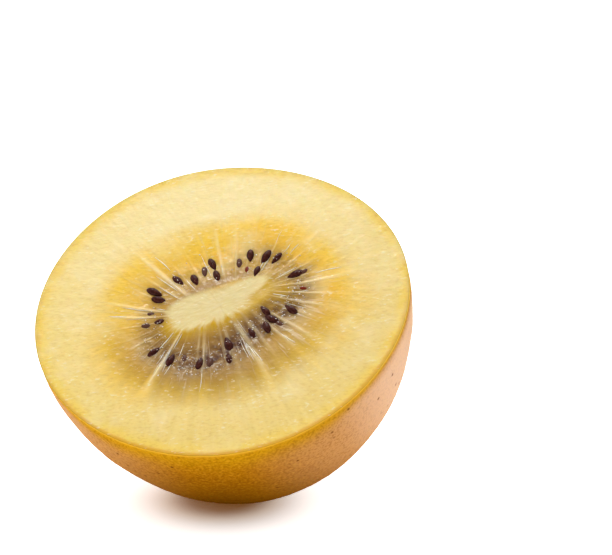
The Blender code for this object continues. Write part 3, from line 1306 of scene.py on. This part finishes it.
@dataclass(frozen=True)
class Skin:
    """The thin skin, a closed shell from the cut's edge to the stem end."""

    form: FruitForm
    finish: SkinFinish = SkinFinish()
    spokes: int = 600
    rings: int = 120
    inner_rings: int = 12

    # Fine and broad unevenness of the outside, which starts a little below the cut.
    relief: float = 0.05 * MM
    relief_grain: float = 1.1 * MM
    sway: float = 0.12 * MM
    sway_grain: float = 9.0 * MM
    even_edge: float = 1.0 * MM

    # Girths of the turned outline, times this, mark the inside of the shell.
    inside: float = 0.9

    # How deep below the cut the bright edge shows, and the golden glow painted for light that comes through
    # the flesh.
    edge_depth: float = 0.3 * MM
    glow_depth: float = 3.6 * MM
    glow_grain: float = 5.0 * MM

    # The painted shade of the underside near the floor: how high over the floor it fades, and how wide it is.
    underside_shade_fall: tuple[float, float] = (3.0 * MM, 16.0 * MM)
    underside_shade_width: float = 15.0 * MM

    # The brownish-pink painted sheen of the sides, also laid more weakly over the back: where it comes in
    # sideways, backwards and at the far sides, and how far below the cut it starts and is full, in the middle
    # and at the far sides.
    sheen_tan_aside: tuple[float, float] = (3.0 * MM, 21.0 * MM)
    sheen_tan_behind: tuple[float, float] = (-6.0 * MM, 10.0 * MM)
    far_aside: tuple[float, float] = (14.0 * MM, 25.0 * MM)
    sheen_tan_depth: tuple[float, float, float] = (0.3 * MM, 5.0 * MM, 1.5 * MM)

    # The pale painted sheen of the far sides, which fades out backwards.
    pale_sheen_aside: tuple[float, float] = (17.0 * MM, 27.0 * MM)
    pale_sheen_behind: tuple[float, float] = (0.0, 14.0 * MM)
    pale_sheen_depth: tuple[float, float] = (0.2 * MM, 3.0 * MM)

    def outline(self) -> list[tuple[float, float]]:
        """Coded outline to turn, from the inside's pole up to the rim and down the outside."""
        length = self.form.half_length
        outline = [(0.0, self.form.skin_thickness - length)]
        for number in range(self.inner_rings - 1, -1, -1):
            depth = length * math.sin(0.5 * math.pi * number / self.inner_rings)
            outline.append((self.inside * self.form.girth(depth), -depth))
        outline.append((0.5 * (1 + self.inside), 0.0))
        for number in range(self.rings):
            depth = length * math.sin(0.5 * math.pi * number / self.rings)
            outline.append((self.form.girth(depth), -depth))
        return outline + [(0.0, -length)]

    def masks(self, point: Vector, angle: float, depth: float, over_floor: float) -> dict[str, float]:
        """Masks that the skin's finish reads at a point.

        Args:
            point: the point in the fruit's own frame.
            angle: its direction.
            depth: its depth below the cut.
            over_floor: its height over the floor.

        Returns:
            The value of each mask, by name.
        """
        side = abs(point.x)
        right = point.x > 0
        edge = bell(depth, self.edge_depth)
        # The sides' painted sheen, weaker over the back.
        sheen_tan = ease(side, *self.sheen_tan_aside) * (0.75 if right else 0.6)
        sheen_tan = max(sheen_tan, 0.35 * ease(point.y, *self.sheen_tan_behind))
        start, full, far_full = self.sheen_tan_depth
        full += (far_full - full) * ease(side, *self.far_aside)
        # The far sides' pale painted sheen, weaker on the left and over the back.
        pale_sheen = (0.55 if right else 0.2) * (1 - 0.8 * ease(point.y, *self.pale_sheen_behind))
        return {
            # Painted glow of light that comes through the flesh.
            "glow": bell(depth, self.glow_depth) * (0.85 + 0.3 * unevenness(point, self.glow_grain)),
            "edge": edge,
            "edge_top": edge * facing(angle, math.radians(90)) ** 1.5,
            # Painted shade, darkest nearest the floor.
            "under": 0.85 * (1 - ease(over_floor, *self.underside_shade_fall)) * bell(point.x, self.underside_shade_width),
            "sheen_tan": sheen_tan * ease(depth, start, full),
            "sheen": pale_sheen * ease(side, *self.pale_sheen_aside) * ease(depth, *self.pale_sheen_depth),
        }

    def build(self) -> bpy.types.Object:
        """Builds the skin."""
        shape = turned(self.outline(), self.spokes)
        least = shape.verts.layers.float.new(LEAST_HEIGHT)
        masks = {name: shape.verts.layers.float.new(name) for name in self.finish.reads}
        lying = self.form.lying()
        for vertex in shape.verts:
            code, depth = math.hypot(vertex.co.x, vertex.co.y), -vertex.co.z
            angle = math.atan2(vertex.co.y, vertex.co.x)
            girth = self.form.girth(depth)
            share = code / girth if girth > 0 else float(depth == self.form.half_length)
            inset = min(1.0, max(0.0, (1 - share) / (1 - self.inside)))
            point = self.form.under_skin(angle, girth, depth, inset)
            if inset < 0.01:
                bumps = self.relief * unevenness(point, self.relief_grain)
                bumps += self.sway * unevenness(point, self.sway_grain, 2)
                point += point.normalized() * (bumps * ease(depth, 0.0, self.even_edge))
            for name, value in self.masks(point, angle, depth, (lying @ point).z).items():
                vertex[masks[name]] = value
            vertex[least] = inset * self.form.skin_thickness
            vertex.co = point
        return finished("skin", shape, self.form, self.finish)


@dataclass(frozen=True)
class SeedPieces:
    """The seeds as drops of hard coat, half sunk in their chambers."""

    ring: SeedRing
    finish: SeedFinish = SeedFinish()
    subdivisions: int = 4
    sizes: tuple[float, float] = (0.92, 1.10)
    widths: tuple[float, float] = (0.88, 1.06)
    unripe_size: float = 0.62

    # How deep the middle of a seed is sunk, and the share of that for bare and unripe seeds, and for veiled.
    sunk: float = 0.42 * MM
    bare_sunk: tuple[float, float] = (0.7, 1.2)
    veiled_sunk: float = 1.5
    tip: float = math.radians(8)
    veil: float = 0.75
    redness: float = 0.85
    draw: int = 21

    def build(self) -> bpy.types.Object:
        """Builds every seed into one piece."""
        shape = bmesh.new()
        veiled, unripe = (shape.verts.layers.float.new(name) for name in self.finish.reads)
        draw = random.Random(self.draw)
        for seed in self.ring.seeds():
            is_veiled = seed.look is SeedLook.VEILED
            is_unripe = seed.look is SeedLook.UNRIPE
            made = bmesh.ops.create_icosphere(shape, subdivisions=self.subdivisions, radius=0.5)["verts"]
            for vertex in made:
                vertex.co = self.drop(vertex.co)
                vertex[veiled] = self.veil if is_veiled else 0.0
                vertex[unripe] = self.redness if is_unripe else 0.0
            size, slim = draw.uniform(*self.sizes), draw.uniform(*self.widths)
            size *= self.unripe_size if is_unripe else 1.0
            sunk = self.sunk * (self.veiled_sunk if is_veiled else draw.uniform(*self.bare_sunk))
            scale = Vector((self.ring.length, self.ring.width * slim, self.ring.thickness)) * size
            place = self.ring.place(seed) @ Matrix.Translation((0, 0, -sunk))
            place @= Matrix.Rotation(draw.gauss(0, self.tip), 4, "Y") @ Matrix.Diagonal(scale.to_4d())
            bmesh.ops.transform(shape, matrix=place, verts=made)
        return finished("seeds", shape, self.ring.form, self.finish)

    def drop(self, point: Vector) -> Vector:
        """Draws a point of a unit ball out into a seed, blunt outwards and pointed towards the core."""
        taper = 1 - 0.4 * ease(-point.x, -0.15, 0.55)
        return Vector((point.x, point.y * taper, point.z * taper))


@dataclass(frozen=True)
class Strands:
    """Wet fibres of the chamber walls that lie on the cut and catch the light."""

    cut: CutFace
    finish: FibreFinish = FibreFinish()
    count: int = 46

    # How far beside a ray a fibre lies, the reach at which it starts, its length as reach, and its bends.
    beside: float = math.radians(3.0)
    starts: tuple[float, float] = (0.02, 0.34)
    lengths: tuple[float, float] = (0.08, 0.22)
    drift: float = math.radians(0.8)
    sway: float = math.radians(0.2)
    radius: float = 0.055 * MM
    thicknesses: tuple[float, float] = (0.6, 1.5)
    lift: float = -0.015 * MM
    around: int = 8
    along: int = 30
    draw: int = 12

    def build(self) -> bpy.types.Object:
        """Builds the fibres into one piece."""
        shape = bmesh.new()
        rays = self.cut.rays()
        draw = random.Random(self.draw)
        for _ in range(self.count):
            self.strand(shape, draw, rays)
        bmesh.ops.remove_doubles(shape, verts=shape.verts[:], dist=1e-7)
        bmesh.ops.recalc_face_normals(shape, faces=shape.faces[:])
        return finished("strands", shape, self.cut.form, self.finish)

    def strand(self, shape: Shape, draw: random.Random, rays: list[PaleRay]) -> None:
        """Adds one fibre, which tapers to both ends and follows the ground.

        Args:
            shape: the shape to add to.
            draw: source of its place and size.
            rays: the pale rays, near which most fibres lie.
        """
        ray = draw.choices(rays, weights=[0.1 + ray.strength**2 for ray in rays])[0]
        angle = ray.angle + draw.gauss(0, self.beside)
        low = draw.uniform(*self.starts)
        high = low + draw.uniform(*self.lengths)
        drift = draw.gauss(0, self.drift)
        thick = self.radius * draw.uniform(*self.thicknesses)
        phase = draw.uniform(0, 2 * math.pi)
        rows: dict[int, tuple[Vector, Vector]] = {}
        for vertex, turn, step in sheet(shape, self.around, self.along):
            share = step / self.along
            if step not in rows:
                here = angle + drift * share + self.sway * math.sin(5 * share + phase)
                point = self.cut.ground(here, low + (high - low) * share, rays)
                heading = self.cut.form.ray_heading(here)
                lift = Vector((0, 0, self.lift * math.sin(math.pi * share)))
                rows[step] = point + lift, Vector((-math.sin(heading), math.cos(heading), 0))
            middle, side = rows[step]
            radius = thick * math.sin(math.pi * share) ** 0.6 if 0 < step < self.along else 0.0
            vertex.co = middle + radius * (side * math.cos(turn) + Vector((0, 0, math.sin(turn))))


@dataclass(frozen=True)
class JuiceBeads:
    """Tiny beads of juice and gel round the seeds, whose near-white tone paints a glint on each."""

    cut: CutFace
    finish: JuiceFinish = JuiceFinish()
    count: int = 400
    least: float = 0.035 * MM
    most: float = 0.13 * MM
    spread: float = 0.065
    outwards: float = 0.01
    seed_sunk: float = 0.42 * MM
    draw: int = 8

    def build(self) -> bpy.types.Object:
        """Builds the beads into one piece: most on the cut, and a few on every seed as painted glints."""
        shape = bmesh.new()
        rays = self.cut.rays()
        draw = random.Random(self.draw)
        for _ in range(self.count):
            self.on_cut(shape, draw, rays)
        for seed in self.cut.ring.seeds():
            for _ in range(draw.randint(1, 3)):
                self.on_seed(shape, draw, seed)
        return finished("juice_beads_painted_glints", shape, self.cut.form, self.finish)

    def bead(self, shape: Shape, size: float, place: Matrix) -> None:
        """Adds one ball of this radius, squashed and put in its place by a matrix."""
        made = bmesh.ops.create_icosphere(shape, subdivisions=2, radius=size)["verts"]
        bmesh.ops.transform(shape, matrix=place, verts=made)

    def wet_angle(self, draw: random.Random) -> float:
        """Draws a direction, mostly one on the wetter side."""
        while True:
            angle = draw.uniform(-math.pi, math.pi)
            if draw.random() <= 0.15 + 0.85 * self.cut.lower_side(angle) ** 1.5:
                return angle

    def on_cut(self, shape: Shape, draw: random.Random, rays: list[PaleRay]) -> None:
        """Adds one bead on the ground of the seed chambers.

        Args:
            shape: the shape to add to.
            draw: source of its place and size.
            rays: the pale rays.
        """
        angle = self.wet_angle(draw)
        ring = self.cut.ring.reach + ripple(self.cut.ring.waves, angle)
        reach = max(0.0, draw.gauss(ring + self.outwards, self.spread))
        size = self.least + (self.most - self.least) * draw.random() ** 1.5
        place = Matrix.Translation(self.cut.ground(angle, reach, rays))
        place @= Matrix.Rotation(draw.uniform(0, math.pi), 4, "Z")
        place @= Matrix.Diagonal((1.0, draw.uniform(0.5, 1.0), draw.uniform(0.45, 0.8), 1))
        self.bead(shape, size, place)

    def on_seed(self, shape: Shape, draw: random.Random, seed: Seed) -> None:
        """Adds one bead on top of a seed, a pale dot that paints a glint on it.

        Args:
            shape: the shape to add to.
            draw: source of its place and size.
            seed: the seed that it sits on.
        """
        ring = self.cut.ring
        along, across = draw.uniform(-0.6, 0.6), draw.uniform(-0.5, 0.5)
        rise = 0.5 * ring.thickness * math.sqrt(1 - along**2 - across**2) - self.seed_sunk
        spot = Vector((0.5 * along * ring.length, 0.5 * across * ring.width, rise))
        size = draw.uniform(0.8 * self.least, 0.55 * self.most)
        stretch = Matrix.Diagonal((draw.uniform(1.0, 2.2), 1.0, 0.7, 1))
        self.bead(shape, size, ring.place(seed) @ Matrix.Translation(spot) @ stretch)


@dataclass(frozen=True)
class StemScar:
    """The round woody spot where the stalk broke off: a low button with a raised, split ring."""

    form: FruitForm
    finish: ScarFinish = ScarFinish()
    radius: float = 2.3 * MM
    height: float = 0.6 * MM
    sunk: float = 1.2 * MM
    ring_width: float = 0.75 * MM
    ring_steps: int = 8
    hollow: float = 0.35 * MM
    hollow_steps: int = 6
    rough: float = 0.12 * MM
    rough_grain: float = 0.5 * MM
    splits: int = 9
    split_depth: float = 0.08 * MM
    spokes: int = 120

    def outline(self) -> list[tuple[float, float]]:
        """Outline to turn: the sunk back, the wall, the ring, and the hollow inside it."""
        outline = [(0.0, self.sunk), (0.5 * self.radius, self.sunk), (self.radius, self.sunk)]
        outline += [(self.radius, 0.4 * self.sunk), (self.radius, 0.0)]
        for number in range(self.ring_steps + 1):
            share = number / self.ring_steps
            crest = math.sin(math.pi * (0.5 * share + 0.5 * min(1, share * 1.6)) ** 0.8) ** 0.5
            outline.append((self.radius - share * self.ring_width, min(0.0, -self.height * crest)))
        inner = self.radius - self.ring_width
        for number in range(1, self.hollow_steps):
            share = number / self.hollow_steps
            outline.append((inner * (1 - share), -self.hollow * (0.3 + 0.7 * share)))
        return outline + [(0.0, -self.hollow)]

    def build(self) -> bpy.types.Object:
        """Builds the scar."""
        shape = turned(self.outline(), self.spokes)
        for vertex in shape.verts:
            if vertex.co.z <= 0:
                angle = math.atan2(vertex.co.y, vertex.co.x)
                vertex.co.z += self.rough * unevenness(vertex.co, self.rough_grain)
                vertex.co.z -= self.split_depth * abs(math.sin(self.splits * angle))
        stem_end = Vector((0, 0, self.form.dimple_depth - self.form.half_length))
        bmesh.ops.translate(shape, vec=stem_end, verts=shape.verts[:])
        return finished("stem_scar", shape, self.form, self.finish)


@dataclass(frozen=True)
class Studio:
    """Pale floor with a painted shadow, soft studio light and the camera."""

    form: FruitForm
    paper: PaperFinish = PaperFinish()
    paper_size: float = 12.0
    surround: float = 0.30
    distance: float = 0.520
    elevation: float = math.radians(18)
    lens: float = 204.4
    sensor: float = 36.0

    # How far right and up the camera aims past the middle of the cut, as a share of the view's width.
    aside: float = 0.1397
    above: float = 0.0471

    # Each soft box: name, place, side in metres, and power in watts.
    soft_boxes: tuple[tuple[str, tuple[float, float, float], float, float], ...] = (
        ("overhead", (0.0, 0.46, 0.90), 0.80, 9.5),
        ("sparkle", (-0.22, 0.22, 0.80), 0.10, 1.5),
        ("right_side", (0.70, 0.25, 0.30), 0.55, 1.8),
        ("left_side", (-0.70, 0.15, 0.35), 0.55, 1.6),
    )

    def floor(self) -> bpy.types.Object:
        """A wide sheet of pale paper, with the fruit's shadow painted into its glow."""
        shape = bmesh.new()
        bmesh.ops.create_grid(shape, x_segments=1, y_segments=1, size=0.5 * self.paper_size)
        mesh = bpy.data.meshes.new("floor")
        shape.to_mesh(mesh)
        shape.free()
        mesh.materials.append(self.paper.material())
        floor = bpy.data.objects.new("floor", mesh)
        bpy.context.scene.collection.objects.link(floor)
        return floor

    def light(self) -> None:
        """Square soft boxes over and beside the fruit, which face it, and a pale surround."""
        for name, place, side, power in self.soft_boxes:
            light = bpy.data.lights.new(name, "AREA")
            light.size = side
            light.energy = power
            lamp = bpy.data.objects.new(name, light)
            lamp.location = place
            lamp.rotation_mode = "QUATERNION"
            lamp.rotation_quaternion = (Vector(place) - self.form.cut_middle).to_track_quat("Z", "Y")
            bpy.context.scene.collection.objects.link(lamp)
        world = bpy.data.worlds.new("surround")
        world.use_nodes = True
        background = world.node_tree.nodes["Background"]
        background.inputs["Color"].default_value = linear("FFFFFF")
        background.inputs["Strength"].default_value = self.surround
        bpy.context.scene.world = world
        bpy.context.scene.view_settings.view_transform = "Standard"

    def camera(self) -> bpy.types.Object:
        """Camera that looks along +Y and down at the cut, which lies left of and below the view's middle."""
        data = bpy.data.cameras.new("camera")
        data.lens = self.lens
        data.sensor_width = self.sensor
        data.clip_start = 0.01
        data.clip_end = 50
        camera = bpy.data.objects.new("camera", data)
        back = Vector((0, -math.cos(self.elevation), math.sin(self.elevation)))
        camera.location = self.form.cut_middle + back * self.distance
        right = Vector((1, 0, 0))
        up = back.cross(right)
        aim = (right * self.aside + up * self.above) * (self.sensor / self.lens) - back
        camera.rotation_mode = "QUATERNION"
        camera.rotation_quaternion = aim.to_track_quat("-Z", "Y")
        bpy.context.scene.collection.objects.link(camera)
        bpy.context.scene.camera = camera
        return camera


def main() -> None:
    """Builds the half fruit on its frame, and the studio round it."""
    logging.basicConfig(level=logging.INFO, format="%(message)s")
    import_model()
    form = FruitForm()
    ring = SeedRing(form)
    studio = Studio(form)
    studio.camera()
    cut = CutFace(form, ring)
    Flesh(form, cut).build()
    Skin(form).build()
    SeedPieces(ring).build()
    Strands(cut).build()
    JuiceBeads(cut).build()
    StemScar(form).build()
    studio.floor()
    studio.light()


if __name__ == "__main__":
    main()
